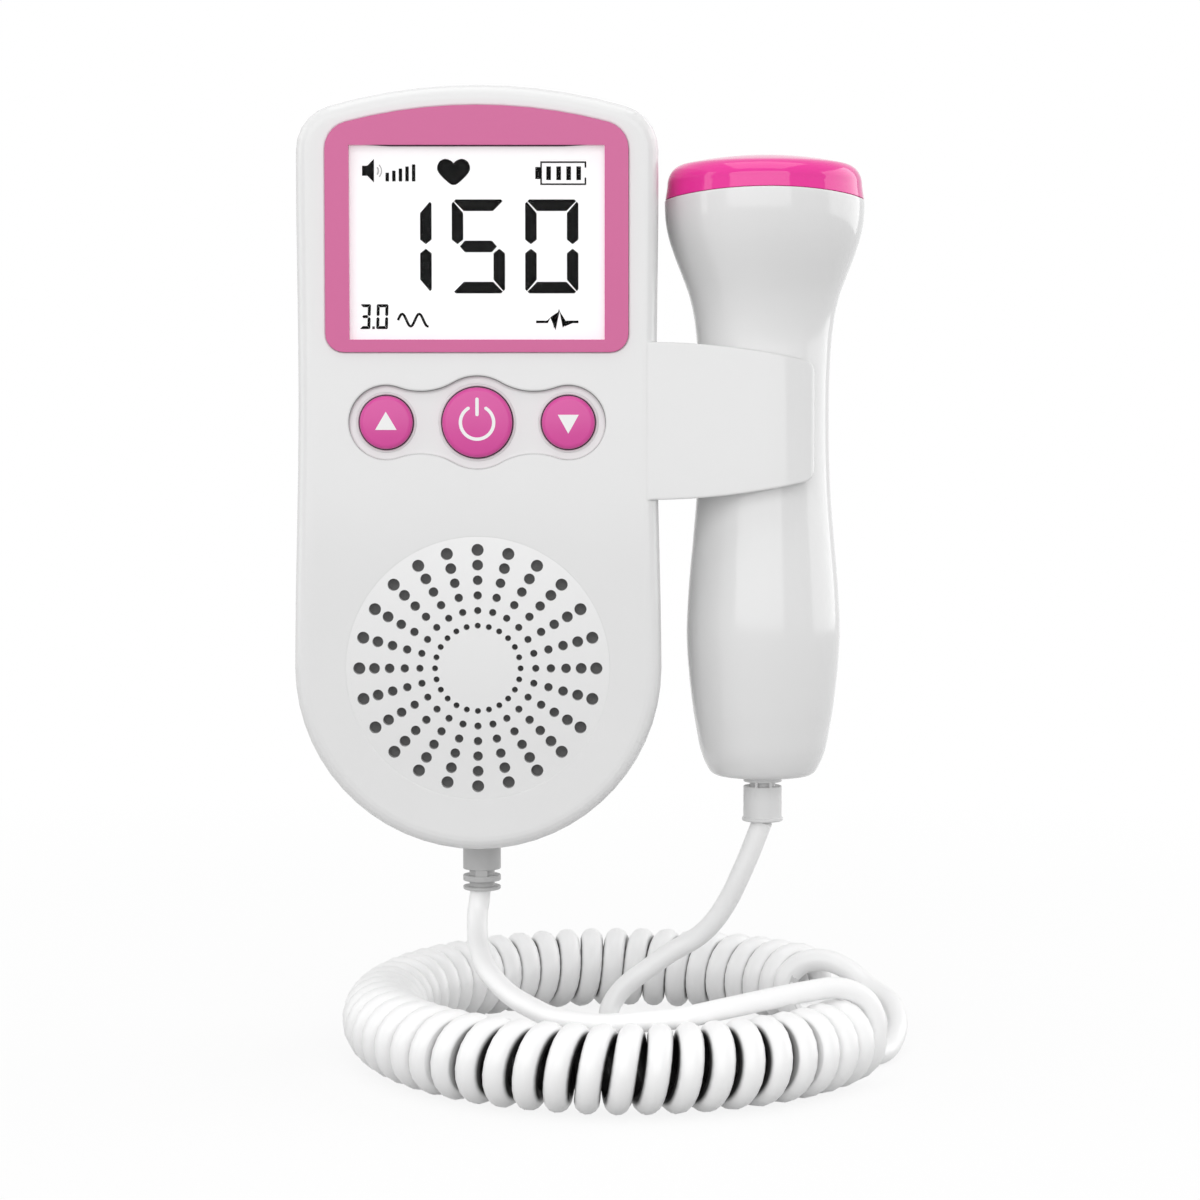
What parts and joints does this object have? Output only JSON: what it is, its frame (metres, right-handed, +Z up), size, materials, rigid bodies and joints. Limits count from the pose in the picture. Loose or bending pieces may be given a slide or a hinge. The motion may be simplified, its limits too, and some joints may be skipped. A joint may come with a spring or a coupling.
{
  "type": "fetal doppler monitor",
  "caption": "Handheld fetal doppler: rounded case with display, buttons and round speaker grille, side holder carrying a flared probe, and a curly cord between them.",
  "frame": {"origin": "middle of the flat rear face of the case, at half the height of the case, where the holding hand's palm lies", "axes": "+Z up along the case towards the arched top, the face with the display looks along -Y, +X towards the probe"},
  "size_m": [0.1112, 0.1114, 0.1767],
  "materials": {
    "white_shell": "smooth moulded, glossy",
    "white_grille": "satin, perforated",
    "pink_frame": "smooth, glossy",
    "pink_button": "satin",
    "pink_cap": "smooth, glossy",
    "clear_window": "clear",
    "display_glass": "smooth",
    "diffuser": "diffusing",
    "dust_cloth": "woven",
    "speaker_metal": "satin",
    "keypad_rubber": "matt",
    "circuit_board": "solder mask",
    "cell_jacket": "satin",
    "contact_metal": "polished",
    "socket_plastic": "matt",
    "screw_steel": "satin",
    "gland_rubber": "matt",
    "ceramic": "plated ceramic disc",
    "backing": "matt",
    "cord_jacket": "smooth, satin"
  },
  "bodies": {
    "monitor": {"front_shell": "white_shell", "rear_shell": "white_shell", "display_bezel": "pink_frame", "display_window": "clear_window", "lcd_panel": "display_glass", "backlight": "diffuser", "speaker_grille": "white_grille", "speaker_cloth": "dust_cloth", "speaker": "speaker_metal", "keypad": "keypad_rubber", "main_board": "circuit_board", "battery_left": "cell_jacket", "battery_right": "cell_jacket", "battery_contacts": "contact_metal", "headphone_jack": "socket_plastic", "case_screws": "screw_steel", "board_screws": "screw_steel", "monitor_gland": "gland_rubber", "cord_monitor_lead": "cord_jacket", "cord_coil": "cord_jacket", "cord_probe_lead": "cord_jacket"},
    "power_button": {"power_button": "pink_button"},
    "volume_up_button": {"volume_up_button": "pink_button"},
    "volume_down_button": {"volume_down_button": "pink_button"},
    "battery_door": {"battery_door": "white_shell"},
    "probe": {"probe_front_shell": "white_shell", "probe_rear_shell": "white_shell", "probe_cap": "pink_cap", "transducer": "ceramic", "transducer_backing": "backing", "probe_board": "circuit_board", "probe_gland": "gland_rubber"}
  },
  "joints": [
    {"name": "power_press", "type": "slide", "parent": "monitor", "child": "power_button", "axis": [0, 1, 0], "range_m": [0, 0.0006], "stiffness_N_per_m": 500},
    {"name": "volume_up_press", "type": "slide", "parent": "monitor", "child": "volume_up_button", "axis": [0, 1, 0], "range_m": [0, 0.0006], "stiffness_N_per_m": 500},
    {"name": "volume_down_press", "type": "slide", "parent": "monitor", "child": "volume_down_button", "axis": [0, 1, 0], "range_m": [0, 0.0006], "stiffness_N_per_m": 500},
    {"name": "battery_door_hinge", "type": "hinge", "parent": "monitor", "child": "battery_door", "pos_m": [0, -0.0009, 0.0389], "axis": [1, 0, 0], "range_deg": [0, 75]},
    {"name": "probe_clip_out", "type": "slide", "parent": "monitor", "child": "probe", "axis": [0.866, 0.5, 0], "range_m": [0, 0.06]}
  ]
}
